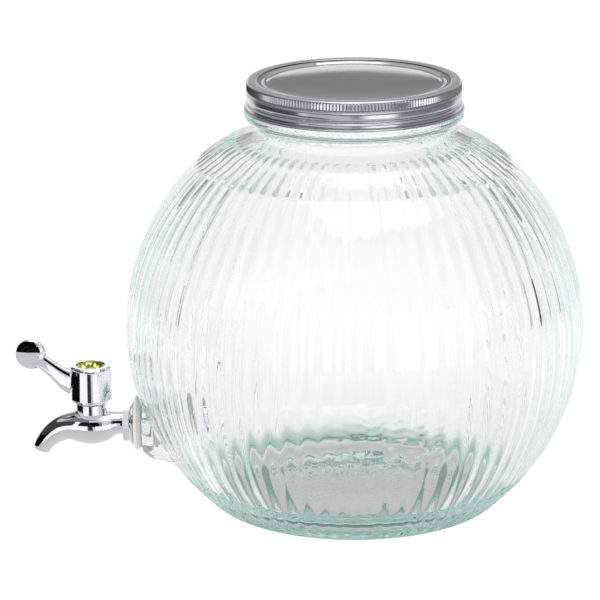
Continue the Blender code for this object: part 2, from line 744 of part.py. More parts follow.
def main():
    clear_scene()
    parts = make_collection("beverage_dispenser")
    cutters = make_collection("cutters", for_cutters=True)
    glass = make_material("glass", (0.80, 0.90, 0.87), 0.0, 0.03, alpha=0.35)
    tin = make_material("satin_tin", (0.60, 0.60, 0.61), 1.0, 0.32)
    chrome = make_material("chrome", (0.86, 0.87, 0.89), 1.0, 0.04)
    brass = make_material("brass", (0.78, 0.66, 0.34), 1.0, 0.25)
    gold = make_material("gold_insert", (0.72, 0.66, 0.30), 1.0, 0.15)
    silicone = make_material("white_silicone", (0.86, 0.86, 0.83), 0.0, 0.5)
    nut_plastic = make_material("nut_plastic", (0.84, 0.81, 0.74), 0.0, 0.45)
    rubber = make_material("black_rubber", (0.03, 0.03, 0.03), 0.0, 0.6)
    steel = make_material("steel", (0.62, 0.62, 0.63), 1.0, 0.3)

    glass_vessel(parts, cutters, glass)
    lid_band(parts, cutters, tin)
    lid_disc(parts, tin)
    lid_gasket(parts, silicone)
    tap_body(parts, cutters, chrome)
    outer_washer(parts, silicone)
    shank_nut_bore(clamp_stack(parts, {"silicone": silicone, "nut": nut_plastic}), cutters)
    valve_plug(parts, cutters, brass)
    o_ring("plug_o_ring_upper", RING_UPPER_Z, parts, rubber)
    o_ring("plug_o_ring_lower", RING_LOWER_Z, parts, rubber)
    thrust_washer(parts, nut_plastic)
    bonnet_nut(parts, cutters, brass)
    tap_handle(parts, cutters, chrome)
    spring_washer(parts, cutters, steel)
    handle_screw(parts, cutters, steel)
    handle_cap(parts, gold)
    shade(parts)


main()
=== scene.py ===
"""Looks of the globe jar with a screwed lid and a lever tap.

Metres, in the CAD frame: +Z up on the globe's axis, the underside at z = 0, the tap towards -Y.
Fine pieces replace the plain CAD nodes, placed by those nodes' boxes, and the enclosed ones keep their
CAD shape. Outlines are lists of (radius, height, fillet) in millimetres.
"""

import math

import bmesh
import bpy
import numpy as np
from mathutils import Matrix, Vector


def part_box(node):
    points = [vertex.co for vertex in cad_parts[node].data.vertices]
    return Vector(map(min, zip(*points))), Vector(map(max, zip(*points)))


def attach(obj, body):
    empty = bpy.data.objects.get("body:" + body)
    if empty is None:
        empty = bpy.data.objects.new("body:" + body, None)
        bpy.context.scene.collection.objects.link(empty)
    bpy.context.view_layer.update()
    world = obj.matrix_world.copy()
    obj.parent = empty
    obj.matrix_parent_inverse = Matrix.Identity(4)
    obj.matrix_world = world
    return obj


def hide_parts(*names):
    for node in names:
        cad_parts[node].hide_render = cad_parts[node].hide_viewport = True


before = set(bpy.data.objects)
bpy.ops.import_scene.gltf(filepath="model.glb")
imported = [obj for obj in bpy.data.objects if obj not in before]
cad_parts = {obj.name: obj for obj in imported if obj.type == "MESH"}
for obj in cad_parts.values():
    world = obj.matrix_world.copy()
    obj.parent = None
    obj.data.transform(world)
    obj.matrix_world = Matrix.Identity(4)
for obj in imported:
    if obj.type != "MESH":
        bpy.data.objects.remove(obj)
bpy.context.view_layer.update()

MM = 0.001

# Driving sizes read from the frame
VESSEL_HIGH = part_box("glass_vessel")[1]
GLOBE_R = VESSEL_HIGH[0]
RIM_Z = VESSEL_HIGH[2]
BODY_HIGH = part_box("tap_body")[1]
HANDLE_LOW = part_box("tap_handle")[0]
CAP_LOW, CAP_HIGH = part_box("handle_cap")
WASHER_LOW, WASHER_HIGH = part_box("outer_washer")
INNER_WASHER_LOW, INNER_WASHER_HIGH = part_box("inner_washer")
SLIP_LOW, SLIP_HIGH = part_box("slip_washer")
NUT_LOW, NUT_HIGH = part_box("shank_nut")
GASKET_LOW, GASKET_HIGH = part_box("lid_gasket")
DISC_LOW, DISC_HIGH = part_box("lid_disc")
TAP_Z = (WASHER_LOW[2] + WASHER_HIGH[2]) / 2
VALVE_Y = (CAP_LOW[1] + CAP_HIGH[1]) / 2
KNOB_R = 9.25 * MM
KNOB_Y = HANDLE_LOW[1] + KNOB_R

# Glass
GLOBE_Z = 106 * MM
WALL = 4.6 * MM
RIBS = 72
COLUMNS = RIBS * 8
FLUTE_DEPTH = 1.3 * MM
PUNT_R = 50 * MM
PUNT_RISE = 2.0 * MM
FLUTE_SHARPNESS = 2.6
THREAD_PITCH = 6 * MM
THREAD_TURNS = 1.25
THREAD_FOOT_Z = 240.6 * MM
GLASS_HUE = (0.10, 0.68, 0.55)
GLASS_DENSITY = 2.2
FOOT_PAINTED_SHADE = (  # height in metres, and the colour painted there: the thick foot looks greener and darker, here as painted shade on top of the glass's absorption
    (0.000, (0.26, 0.48, 0.41)),
    (0.005, (0.46, 0.68, 0.61)),
    (0.010, (0.995, 1.0, 0.998)),
)
FOOT_R = 79.3 * MM  # inside this radius the painted foot shade is left out at any height
BOSS_FACE_Y = -126.4 * MM
RECESS_Y = -119 * MM

# Lid
KNURL_TEETH = 204
KNURL_DEPTH = 0.55 * MM

# Camera
CAMERA_DISTANCE = 1.8
CAMERA_HEIGHT = 0.6433
CAMERA_PITCH = 0.2828
CAMERA_YAW = -0.0178
CAMERA_ROLL = math.radians(-0.35)
CAMERA_LENS = 190.4

# Studio brightness, as the glass and the metal see it
BOUNCES = 100  # light is thrown to and fro many times inside the ribbed wall
WORLD_STRENGTH = 1.04
# Painted shadow and light on the tabletop seen through the glass: dark under the foot, brightest about 0.36
# m out, dimmer beyond
TABLETOP_PAINTED_SHADOW_AND_LIGHT = (  # distance from the axis in metres, and brightness there
    (0.074, 0.53),
    (0.108, 0.90),
    (0.180, 0.93),
    (0.270, 1.00),
    (0.360, 1.04),
    (0.480, 1.03),
    (0.580, 0.99),
    (0.720, 0.95),
    (1.000, 0.92),
)
METAL_FLOOR_START = 0.2  # how far behind the axis the tones below begin
# Painted light on the floor the metal reflects: bright behind the jar, painted shade just in front of it,
# lighter farther forward
METAL_FLOOR_PAINTED_LIGHT = ((0.08, 1.0), (0.15, 0.86), (0.20, 0.66), (0.27, 0.56), (0.45, 0.60), (0.80, 0.74))
ROOM_GREY = 0.64
FLAG_R = 1.3  # how far from the axis the glass's dark flags stand
FLAG_SPLIT_Z = 0.30


# ---------------------------------------------------------------- mesh helpers


def mesh_object(name, vertices, faces):
    mesh = bpy.data.meshes.new(name)
    mesh.from_pydata(vertices, [], faces)
    mesh.validate()
    obj = bpy.data.objects.new(name, mesh)
    bpy.context.scene.collection.objects.link(obj)
    return obj


def smooth(obj, angle=35):
    obj.data.shade_smooth()
    obj.data.set_sharp_from_angle(angle=math.radians(angle))
    return obj


def outward(obj):
    shape = bmesh.new()
    shape.from_mesh(obj.data)
    bmesh.ops.remove_doubles(shape, verts=shape.verts, dist=0.002 * MM)
    bmesh.ops.recalc_face_normals(shape, faces=shape.faces)
    shape.to_mesh(obj.data)
    shape.free()
    return obj


def filleted(points, closed=False, cuts=5):
    """A profile from (r, z, fillet) corners, each corner rounded by about its fillet."""
    out = []
    count = len(points)
    for i, (r, z, fillet) in enumerate(points):
        corner = Vector((r, z))
        if not fillet or (not closed and i in (0, count - 1)):
            out.append(corner)
            continue
        before = Vector(points[i - 1][:2]) - corner
        after = Vector(points[(i + 1) % count][:2]) - corner
        size = min(fillet, before.length * 0.48, after.length * 0.48)
        start = corner + before.normalized() * size
        end = corner + after.normalized() * size
        for k in range(cuts + 1):
            t = k / cuts
            out.append(start * (1 - t) ** 2 + corner * 2 * t * (1 - t) + end * t * t)
    return [(p[0] * MM, p[1] * MM) for p in out]


def resampled(points, step):
    """The same outline with points about a step apart."""
    out = [points[0]]
    for (r0, z0), (r1, z1) in zip(points, points[1:]):
        pieces = max(1, round(math.hypot(r1 - r0, z1 - z0) / step))
        out += [(r0 + (r1 - r0) * k / pieces, z0 + (z1 - z0) * k / pieces) for k in range(1, pieces + 1)]
    return out


def revolve(name, profile, steps=96, closed=False, offset=None):
    """A turned solid about Z. offset(angle, r, z) gives an extra radius, as arrays."""
    profile = np.array(profile)
    angles = np.arange(steps) * math.tau / steps
    grid_r, grid_a = np.meshgrid(profile[:, 0], angles, indexing="ij")
    grid_z = np.repeat(profile[:, 1:2], steps, axis=1)
    if offset:
        grid_r = np.where(grid_r > 1e-7, grid_r + offset(grid_a, grid_r, grid_z), grid_r)
    points = np.stack([grid_r * np.cos(grid_a), grid_r * np.sin(grid_a), grid_z], axis=-1).reshape(-1, 3)
    rows = len(profile)
    faces = []
    for i in range(rows if closed else rows - 1):
        low = i * steps
        high = (i + 1) % rows * steps
        for j in range(steps):
            k = (j + 1) % steps
            faces.append((low + j, high + j, high + k, low + k))
    return outward(mesh_object(name, points.tolist(), faces))


def place(obj, matrix):
    """Moves an object's mesh, and leaves the object at the origin."""
    obj.data.transform(matrix)
    return obj


def along_tap(obj, y=0.0):
    """Lays a piece made about +Z down on the tap's axis, looking out along -Y."""
    turn = Matrix.Translation((0, y, TAP_Z)) @ Matrix.Rotation(math.radians(90), 4, "X")
    return place(obj, turn)


def on_valve(obj, z=0.0):
    return place(obj, Matrix.Translation((0, VALVE_Y, z)))


def combine(target, tool, operation):
    """Boolean, applied at once. The tool is used up."""
    modifier = target.modifiers.new(operation, "BOOLEAN")
    modifier.operation = operation
    modifier.solver = "MANIFOLD"
    modifier.object = tool
    graph = bpy.context.evaluated_depsgraph_get()
    mesh = bpy.data.meshes.new_from_object(target.evaluated_get(graph))
    target.modifiers.clear()
    target.data = mesh
    bpy.data.objects.remove(tool)
    return target


def cylinder(name, radius, length, steps=96):
    return revolve(name, [(0, length), (radius, length), (radius, 0), (0, 0)], steps)


def helix(name, root_r, crest_r, foot_z, turns, pitch, half_width, steps_per_turn=96):
    """A closed right-handed thread ridge with run-outs at both ends."""
    count = int(turns * steps_per_turn)
    vertices = []
    for i in range(count + 1):
        angle = math.tau * i / steps_per_turn
        z = foot_z + pitch * i / steps_per_turn
        ends = min(1.0, min(i, count - i) / (steps_per_turn * 0.06))
        crest = root_r + (crest_r - root_r) * (0.25 + 0.75 * ends)
        section = [
            (root_r, half_width),
            (root_r + (crest - root_r) * 0.75, half_width * 0.62),
            (crest, half_width * 0.3),
            (crest, -half_width * 0.3),
            (root_r + (crest - root_r) * 0.75, -half_width * 0.62),
            (root_r, -half_width),
        ]
        vertices += [(r * math.cos(angle), r * math.sin(angle), z + dz) for r, dz in section]
    ring = 6
    faces = [tuple(range(ring)), tuple(range(count * ring, (count + 1) * ring))]
    for i in range(count):
        for j in range(ring):
            k = (j + 1) % ring
            faces.append((i * ring + j, i * ring + k, (i + 1) * ring + k, (i + 1) * ring + j))
    return outward(mesh_object(name, vertices, faces))


def finish_piece(obj, material, body, slot, *replaced):
    obj.data.materials.clear()
    obj.data.materials.append(material)
    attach(obj, body)
    if replaced:
        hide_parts(*replaced)
    return obj


# ---------------------------------------------------------------- materials


def new_material(name, color, metallic, roughness):
    """A Principled material and its node tree, ready for more nodes."""
    material = bpy.data.materials.new(name)
    material.use_nodes = True
    nodes = material.node_tree.nodes
    shader = nodes["Principled BSDF"]
    shader.inputs["Base Color"].default_value = (*color, 1)
    shader.inputs["Metallic"].default_value = metallic
    shader.inputs["Roughness"].default_value = roughness
    return material, nodes, material.node_tree.links, shader


def noise_node(nodes, links, scale, detail, stretch=(1, 1, 1)):
    coordinates = nodes.new("ShaderNodeTexCoord")
    mapping = nodes.new("ShaderNodeMapping")
    mapping.inputs["Scale"].default_value = stretch
    noise = nodes.new("ShaderNodeTexNoise")
    noise.inputs["Scale"].default_value = scale
    noise.inputs["Detail"].default_value = detail
    links.new(coordinates.outputs["Object"], mapping.inputs["Vector"])
    links.new(mapping.outputs["Vector"], noise.inputs["Vector"])
    return noise


def add_bump(nodes, links, shader, source, strength, distance):
    bump = nodes.new("ShaderNodeBump")
    bump.inputs["Strength"].default_value = strength
    bump.inputs["Distance"].default_value = distance
    links.new(source, bump.inputs["Height"])
    links.new(bump.outputs["Normal"], shader.inputs["Normal"])


def vary(nodes, links, source, target, low, high):
    """Drives a socket between two values by a noise."""
    ranged = nodes.new("ShaderNodeMapRange")
    ranged.inputs["From Min"].default_value = 0.3
    ranged.inputs["From Max"].default_value = 0.7
    ranged.inputs["To Min"].default_value = low
    ranged.inputs["To Max"].default_value = high
    links.new(source, ranged.inputs["Value"])
    links.new(ranged.outputs["Result"], target)


def tone_ramp(nodes, stops):
    """A colour ramp through (position, colour) stops."""
    ramp = nodes.new("ShaderNodeValToRGB")
    while len(ramp.color_ramp.elements) < len(stops):
        ramp.color_ramp.elements.new(1.0)
    for element, (position, color) in zip(ramp.color_ramp.elements, stops):
        element.position = position
        element.color = (*color, 1)
    return ramp


def glass_material():
    material, nodes, links, shader = new_material("green_tinted_glass", (0.995, 1.0, 0.998), 0.0, 0.0)
    shader.inputs["Transmission Weight"].default_value = 1.0
    shader.inputs["IOR"].default_value = 1.5
    ripples = noise_node(nodes, links, 90, 2, (1, 1, 0.6))
    add_bump(nodes, links, shader, ripples.outputs["Fac"], 0.10, 0.4 * MM)
    place_in = nodes.new("ShaderNodeTexCoord")
    split = nodes.new("ShaderNodeSeparateXYZ")
    links.new(place_in.outputs["Object"], split.inputs["Vector"])
    flat = nodes.new("ShaderNodeCombineXYZ")
    links.new(split.outputs["X"], flat.inputs["X"])
    links.new(split.outputs["Y"], flat.inputs["Y"])
    radius = nodes.new("ShaderNodeVectorMath")
    radius.operation = "LENGTH"
    links.new(flat.outputs["Vector"], radius.inputs[0])
    inside = nodes.new("ShaderNodeMath")
    inside.operation = "LESS_THAN"
    inside.inputs[1].default_value = FOOT_R
    links.new(radius.outputs["Value"], inside.inputs[0])
    # A metre added to the height is past the last stop of the painted foot shade
    lifted = nodes.new("ShaderNodeMath")
    links.new(split.outputs["Z"], lifted.inputs[0])
    links.new(inside.outputs["Value"], lifted.inputs[1])
    # Painted shade: a darker, greener base colour low on the outer foot
    painted_foot_shade = tone_ramp(nodes, FOOT_PAINTED_SHADE)
    links.new(lifted.outputs["Value"], painted_foot_shade.inputs["Fac"])
    links.new(painted_foot_shade.outputs["Color"], shader.inputs["Base Color"])
    absorption = nodes.new("ShaderNodeVolumeAbsorption")
    absorption.inputs["Color"].default_value = (*GLASS_HUE, 1)
    absorption.inputs["Density"].default_value = GLASS_DENSITY
    links.new(absorption.outputs["Volume"], nodes["Material Output"].inputs["Volume"])
    return material


def chrome_material():
    material, nodes, links, shader = new_material("polished_chrome", (0.90, 0.91, 0.93), 1.0, 0.04)
    peel = noise_node(nodes, links, 260, 2)
    add_bump(nodes, links, shader, peel.outputs["Fac"], 0.05, 0.2 * MM)
    smudges = noise_node(nodes, links, 60, 3)
    vary(nodes, links, smudges.outputs["Fac"], shader.inputs["Roughness"], 0.025, 0.07)
    return material


def tin_material(name, smoothest, roughest):
    material, nodes, links, shader = new_material(name, (0.60, 0.60, 0.615), 1.0, smoothest)
    grain = noise_node(nodes, links, 1500, 3, (1, 0.15, 1))
    add_bump(nodes, links, shader, grain.outputs["Fac"], 0.06, 0.05 * MM)
    cloud = noise_node(nodes, links, 45, 4)
    vary(nodes, links, cloud.outputs["Fac"], shader.inputs["Roughness"], smoothest, roughest)
    return material


def silicone_material():
    material, nodes, links, shader = new_material("white_silicone", (0.88, 0.89, 0.86), 0.0, 0.45)
    shader.inputs["Subsurface Weight"].default_value = 0.2
    shader.inputs["Subsurface Radius"].default_value = (4 * MM, 4 * MM, 3.6 * MM)
    shader.inputs["Subsurface Scale"].default_value = 1.0
    dust = noise_node(nodes, links, 900, 3)
    add_bump(nodes, links, shader, dust.outputs["Fac"], 0.08, 0.1 * MM)
    vary(nodes, links, dust.outputs["Fac"], shader.inputs["Roughness"], 0.38, 0.55)
    return material


def plastic_material(name, color):
    material, nodes, links, shader = new_material(name, color, 0.0, 0.42)
    grain = noise_node(nodes, links, 1200, 2)
    add_bump(nodes, links, shader, grain.outputs["Fac"], 0.1, 0.06 * MM)
    vary(nodes, links, grain.outputs["Fac"], shader.inputs["Roughness"], 0.36, 0.5)
    return material


def rubber_material():
    material, nodes, links, shader = new_material("black_rubber", (0.025, 0.025, 0.026), 0.0, 0.6)
    grain = noise_node(nodes, links, 1500, 3)
    add_bump(nodes, links, shader, grain.outputs["Fac"], 0.15, 0.06 * MM)
    vary(nodes, links, grain.outputs["Fac"], shader.inputs["Roughness"], 0.5, 0.7)
    return material


def turned_metal_material(name, color, roughness):
    material, nodes, links, shader = new_material(name, color, 1.0, roughness)
    marks = noise_node(nodes, links, 900, 3, (0.2, 0.2, 1))
    add_bump(nodes, links, shader, marks.outputs["Fac"], 0.1, 0.05 * MM)
    vary(nodes, links, marks.outputs["Fac"], shader.inputs["Roughness"], roughness * 0.8, roughness * 1.3)
    return material


# ---------------------------------------------------------------- glass vessel


def waves(angle, z, around, up, phase):
    """A smooth ripple that closes on itself around the globe."""
    return np.sin(around * angle + phase) * np.sin(up * z + 1.7 * phase)


def wobble(angle, z, seed):
    """Low, handmade unevenness, about one unit high."""
    total = 0.0
    for k in range(1, 6):
        total = total + waves(angle, z, 3 * k + seed % 5, 14.0 * k + seed, seed * 0.9 + k) / k
    return total / 2.2


def wrinkles(angle, z):
    """Short chill wrinkles, in patches."""
    patch = np.clip(wobble(angle, z, 7) * 1.6, 0, 1) * np.clip((205 * MM - z) / (15 * MM), 0, 1)
    fine = np.sin(1250 * z + 2.2 * np.sin(26 * angle) + 1.4 * np.sin(61 * angle + 190 * z))
    cross = np.sin(173 * angle + 420 * z)
    return patch * (fine * 0.7 + fine * cross * 0.5)


def flutes(angle, r, z):
    """Radius lost in the channels between the ribs, which start at the shoulder and die at the foot."""
    swayed = angle + 0.004 * wobble(angle, z, 2)
    phase = np.abs(np.sin(swayed * RIBS / 2))
    channel = np.floor(swayed * RIBS / math.tau) % RIBS
    own_depth = 0.5 + 0.8 * (np.sin(channel * 12.9898) * 43758.5453 % 1)
    valley = own_depth * phase**FLUTE_SHARPNESS
    top = np.clip((r - 69.0 * MM) / (2.2 * MM), 0, 1)
    foot = np.clip((z - 2.0 * MM) / (5.0 * MM), 0, 1)
    fade = np.where(z > GLOBE_Z, top, foot)
    uneven = 1 + 0.18 * wobble(angle, z, 3)
    return FLUTE_DEPTH * valley * fade * uneven


def outer_offset(angle, r, z):
    globe = np.clip((r - 64.5 * MM) / (10 * MM), 0, 1) * np.clip(z / (12 * MM), 0, 1)
    return -flutes(angle, r, z) - 0.12 * MM * globe * (1 + wobble(angle, z, 11))


def inner_offset(angle, r, z):
    globe = np.clip((r - 60 * MM) / (20 * MM), 0, 1)
    follow = 0.35 * MM * np.abs(np.sin(angle * RIBS / 2)) ** 2
    return globe * (-follow + 0.25 * MM * wobble(angle, z, 5) + 0.10 * MM * wrinkles(angle, z))


def punt_ripple(x, y):
    """Unevenness of the hollow underside, never below it."""
    wave = math.sin(900 * x + 2 * math.sin(260 * y)) + math.sin(1150 * y + 2.5 * math.sin(340 * x))
    return 0.035 * MM * (wave + 2)


def sphere_arc(radius, start, end, count):
    angles = np.radians(np.linspace(start, end, count + 1))
    return [(radius * math.cos(a), GLOBE_Z + radius * math.sin(a)) for a in angles]


def outer_outline():
    neck = filleted(
        [
            (51.6, 250.7, 0),
            (58.3, 250.7, 1.4),
            (58.3, 237.6, 0.8),
            (64.1, 236.4, 1.8),
            (64.1, 231.8, 2.0),
            (56.4, 230.2, 2.2),
            (56.2, 225.0, 2.8),
            (66.5, 221.0, 5.0),
            (70.6, 219.2, 1.5),
            (80.0, 214.2, 0),
        ]
    )
    globe = sphere_arc(GLOBE_R, 49.0, -47.8, 130)
    foot = filleted([(globe[-1][0] / MM, globe[-1][1] / MM, 0), (84.2, 0.0, 3.5), (PUNT_R / MM, 0, 0)])
    punt = [(PUNT_R * (1 - k / 12), PUNT_RISE * (1 - (1 - k / 12) ** 2)) for k in range(1, 13)]
    return resampled(neck + globe + foot[1:] + punt, 1.4 * MM)


def inner_outline():
    floor = filleted([(0, 9.6, 0), (60, 9.8, 8), (74, 10.8, 10), (88, 14.6, 12), (98.5, 21.0, 0)], cuts=9)
    globe = sphere_arc(GLOBE_R - WALL, -40.0, 47.0, 120)
    neck = filleted(
        [
            (80.0, 208.6, 4),
            (66, 214.6, 5),
            (54.5, 219.4, 6),
            (50.8, 226.0, 4),
            (50.8, 250.0, 0),
            (51.6, 250.7, 0),
        ]
    )
    line = resampled(floor + globe + neck[1:], 1.5 * MM)
    return [point for i, point in enumerate(line) if i == 0 or point[0] > 2 * MM]


def cavity_outline():
    """The hollow as a solid: up the neck, out of the rim and back to the axis."""
    return [(0, 262 * MM), (52.0 * MM, 262 * MM), (52.0 * MM, 251.2 * MM)] + inner_outline()[::-1]


def tap_boss():
    """The moulded stub that carries the tap, with a flat face."""
    face = -BOSS_FACE_Y / MM
    corners = [
        (0, face, 0),
        (17.4, face, 1.6),
        (21.6, face - 5.0, 4.0),
        (23.9, face - 17.0, 4.0),
        (24.6, 70.0, 0),
        (0, 70.0, 0),
    ]
    return along_tap(revolve("boss", filleted(corners, cuts=8), 144))


def glass_vessel(material):
    """Ribbed jar with its boss, hollow, seats, hole and neck thread, as one closed shell."""
    jar = revolve("jar_glass", [(0, RIM_Z)] + outer_outline(), COLUMNS, offset=outer_offset)
    for vertex in jar.data.vertices:
        x, y, z = vertex.co
        if z < 3 * MM and 1 * MM < math.hypot(x, y) < PUNT_R:
            vertex.co.z += punt_ripple(x, y) * min(1, (PUNT_R - math.hypot(x, y)) / (3 * MM))
    combine(jar, tap_boss(), "UNION")
    combine(jar, revolve("cavity", cavity_outline(), COLUMNS, offset=inner_offset), "DIFFERENCE")
    seat = -RECESS_Y / MM
    pad = filleted([(0, seat + 6, 0), (15.0, seat + 6, 0), (17.9, seat, 0.5), (0, seat, 0)])
    combine(jar, along_tap(revolve("pad", pad)), "UNION")
    recess = filleted([(0, seat, 0), (18.2, seat, 1.2), (19.4, 60, 0), (0, 60, 0)])
    combine(jar, along_tap(revolve("recess", recess)), "DIFFERENCE")
    combine(jar, along_tap(cylinder("spot_face", 17.6 * MM, 12 * MM), BOSS_FACE_Y), "DIFFERENCE")
    combine(jar, along_tap(cylinder("tap_hole", 9 * MM, 60 * MM), -90 * MM), "DIFFERENCE")
    thread = helix("thread", 57.4 * MM, 60.4 * MM, THREAD_FOOT_Z, THREAD_TURNS, THREAD_PITCH, 1.1 * MM, 192)
    combine(jar, thread, "UNION")
    smooth(jar, 40)
    return finish_piece(jar, material, "vessel", "glass", "glass_vessel")


# ---------------------------------------------------------------- lid


def knurl(angle, r, z):
    """Upright grip teeth on the upper part of the band's outer side."""
    tooth = np.cos(angle * KNURL_TEETH)
    height = np.clip((z - 247.6 * MM) / (0.5 * MM), 0, 1) * np.clip((252.7 * MM - z) / (0.6 * MM), 0, 1)
    outside = r > 61.9 * MM
    return np.where(outside, KNURL_DEPTH * height * (tooth - 1) / 2, 0)


def lid_band(material):
    """Rolled sheet: turned-in top, grip teeth, smooth band, bead, foot curl and the thread inside."""
    outer = [
        (56.2, 252.9, 0.3),
        (56.5, 253.35, 0.4),
        (58.2, 253.6, 1.2),
        (61.3, 253.5, 1.0),
        (62.5, 252.4, 0.9),
        (62.5, 247.5, 0.4),
        (62.0, 247.1, 0.4),
        (62.75, 246.2, 1.2),
        (62.75, 243.2, 1.2),
        (61.7, 241.7, 0.8),
        (62.0, 240.7, 0.5),
        (63.0, 240.1, 0.7),
        (63.0, 238.4, 0.6),
        (62.5, 237.9, 0.4),
        (64.1, 237.4, 0.6),
        (64.1, 236.4, 0.5),
        (62.6, 236.4, 0.4),
    ]
    inner = [
        (61.9, 238.2, 0.5),
        (61.3, 241.5, 0.5),
        (61.8, 244.5, 0.5),
        (61.7, 251.8, 1.0),
        (60.4, 253.0, 0.8),
    ]
    outline = resampled(filleted(outer + inner, closed=True, cuts=4), 0.5 * MM)
    band = revolve("screw_band", outline, KNURL_TEETH * 4, closed=True, offset=knurl)
    foot_z = THREAD_FOOT_Z - 2.6 * MM
    thread = helix("band_thread", 62.0 * MM, 59.2 * MM, foot_z, THREAD_TURNS, THREAD_PITCH, 1.1 * MM, 144)
    combine(band, thread, "UNION")
    smooth(band, 50)
    return finish_piece(band, material, "band", "tin", "lid_band")


def lid_disc(material):
    top = DISC_HIGH[2] / MM
    low = DISC_LOW[2] / MM
    corners = [
        (0, top - 0.35, 0),
        (12.5, top - 0.356, 4),
        (25, top - 0.41, 4),
        (31, top - 0.473, 3),
        (37.5, top - 0.58, 3),
        (44, top - 0.741, 2.5),
        (49.5, top - 0.95, 2),
        (51.2, top - 1.25, 0.6),
        (52.3, top - 1.2, 0.5),
        (53.2, top - 0.1, 0.8),
        (54.6, top, 0.8),
        (60.5, top, 0.3),
        (60.6, top - 0.3, 0.2),
        (60.4, top - 0.6, 0.2),
        (53.6, top - 0.6, 0.8),
        (52.0, low, 0.6),
        (0, low + 0.1, 0),
    ]
    disc = smooth(revolve("pressed_disc", filleted(corners), 256), 50)
    return finish_piece(disc, material, "lid", "tin", "lid_disc")


def lid_gasket(material):
    low, high = GASKET_LOW[2] / MM, GASKET_HIGH[2] / MM
    corners = [(58, high, 0.2), (58, low, 0.3), (53.8, low, 0.3), (53.8, high, 0.2)]
    ring = smooth(revolve("seal_ring", filleted(corners, closed=True), 192, closed=True))
    return finish_piece(ring, material, "lid", "silicone", "lid_gasket")


# ---------------------------------------------------------------- tap


def smooth_line(points, cuts=8):
    """A Catmull-Rom curve through the points, each a tuple of any length."""
    points = [Vector(p) for p in points]
    points = [points[0] * 2 - points[1]] + points + [points[-1] * 2 - points[-2]]
    out = []
    for i in range(1, len(points) - 2):
        a, b, c, d = points[i - 1 : i + 3]
        for k in range(cuts):
            t = k / cuts
            square = (2 * a - 5 * b + 4 * c - d) * t**2
            cube = (3 * b - a - 3 * c + d) * t**3
            out.append(0.5 * (2 * b + (c - a) * t + square + cube))
    out.append(points[-2])
    return out


def sweep(name, line, sides=64, power=2.0):
    """A closed form along a line in the YZ plane: each point is (y, z, half width, half thickness)."""
    points = []
    for i, (y, z, width, thickness) in enumerate(line):
        before, after = line[max(i - 1, 0)], line[min(i + 1, len(line) - 1)]
        along = Vector((0, after[0] - before[0], after[1] - before[1])).normalized()
        across = Vector((0, -along.z, along.y))
        for k in range(sides):
            c = math.cos(math.tau * k / sides)
            s = math.sin(math.tau * k / sides)
            u = math.copysign(abs(c) ** (2 / power), c) * width
            v = math.copysign(abs(s) ** (2 / power), s) * thickness
            points.append(Vector((v, y, z)) + across * u)
    faces = [tuple(range(sides)), tuple(range(len(points) - sides, len(points)))]
    for i in range(len(line) - 1):
        for k in range(sides):
            n = (k + 1) % sides
            faces.append((i * sides + k, i * sides + n, (i + 1) * sides + n, (i + 1) * sides + k))
    return outward(mesh_object(name, [tuple(p) for p in points], faces))


def spout_line(radius=None):
    """The casting's middle line from the hexagon to the mouth: (y, z, radius) about the valve's middle."""
    line = [
        (22.0, 0.0, 7.2),
        (14.5, 0.0, 7.2),
        (7.0, -1.4, 9.9),
        (0.0, -1.8, 11.1),
        (-8.0, -1.6, 10.0),
        (-15.0, -2.4, 8.2),
        (-21.2, -5.4, 7.0),
        (-26.3, -9.6, 6.1),
        (-29.4, -13.6, 5.5),
        (-30.4, -16.4, 5.2),
    ]
    dense = smooth_line(line, 10)
    return [
        (VALVE_Y + y * MM, TAP_Z + z * MM, (radius or r) * MM, (radius or r) * MM) for y, z, r in dense
    ]


def hexagon(name, radius, length, chamfer):
    """A hexagonal prism about Z with its corners chamfered at both ends."""
    prism = revolve(name, [(0, length), (radius, length), (radius, 0), (0, 0)], 6)
    cone = [
        (0, length),
        (radius * 0.866, length),
        (radius * 1.02, length - chamfer),
        (radius * 1.02, chamfer),
        (radius * 0.866, 0),
        (0, 0),
    ]
    return combine(prism, revolve("lens", cone, 96), "INTERSECT")


def tap_body(material):
    body = sweep("tap_casting", spout_line(), 96)
    top = HANDLE_LOW[2] / MM - 0.5
    boss = [(0, top, 0), (9.7, top, 0.3), (9.7, 49.4, 2.4), (7.6, 46.0, 1.5), (0, 44.0, 0)]
    combine(body, on_valve(revolve("valve_boss", filleted(boss, cuts=8), 128)), "UNION")
    shank_end = -BODY_HIGH[1] / MM
    flange = [
        (0, 136.5, 0),
        (8.6, 136.5, 0),
        (8.6, 134.6, 0.5),
        (11.0, 134.2, 0.5),
        (12.8, 132.9, 0.5),
        (12.8, 132.0, 0.2),
        (7.9, 132.0, 0.2),
        (7.9, shank_end + 1, 0.3),
        (7.0, shank_end, 0.2),
        (0, shank_end, 0),
    ]
    combine(body, along_tap(revolve("flange", filleted(flange), 128)), "UNION")
    nut = hexagon("hexagon", 10.9 * MM, 4.6 * MM, 0.5 * MM)
    combine(body, along_tap(nut, (-134.2 + 0.6) * MM), "UNION")
    bore = along_tap(cylinder("bore", 4.5 * MM, 60 * MM), -95 * MM)
    combine(body, bore, "DIFFERENCE")
    outlet = spout_line(4.1)[30:]
    last = outlet[-1]
    outlet.append((last[0] - 0.2 * MM, last[1] - 3 * MM, last[2], last[3]))
    combine(body, sweep("outlet", outlet, 48), "DIFFERENCE")
    bottom = 35.4
    shoulder = 51.6
    valve = [
        (0, top + 2, 0),
        (8.0, top + 2, 0),
        (8.0, shoulder, 0),
        (7.1, shoulder, 0),
        (7.1, bottom, 0),
        (0, bottom, 0),
    ]
    combine(body, on_valve(revolve("valve_bore", filleted(valve))), "DIFFERENCE")
    smooth(body, 32)
    return finish_piece(body, material, "vessel", "chrome", "tap_body")


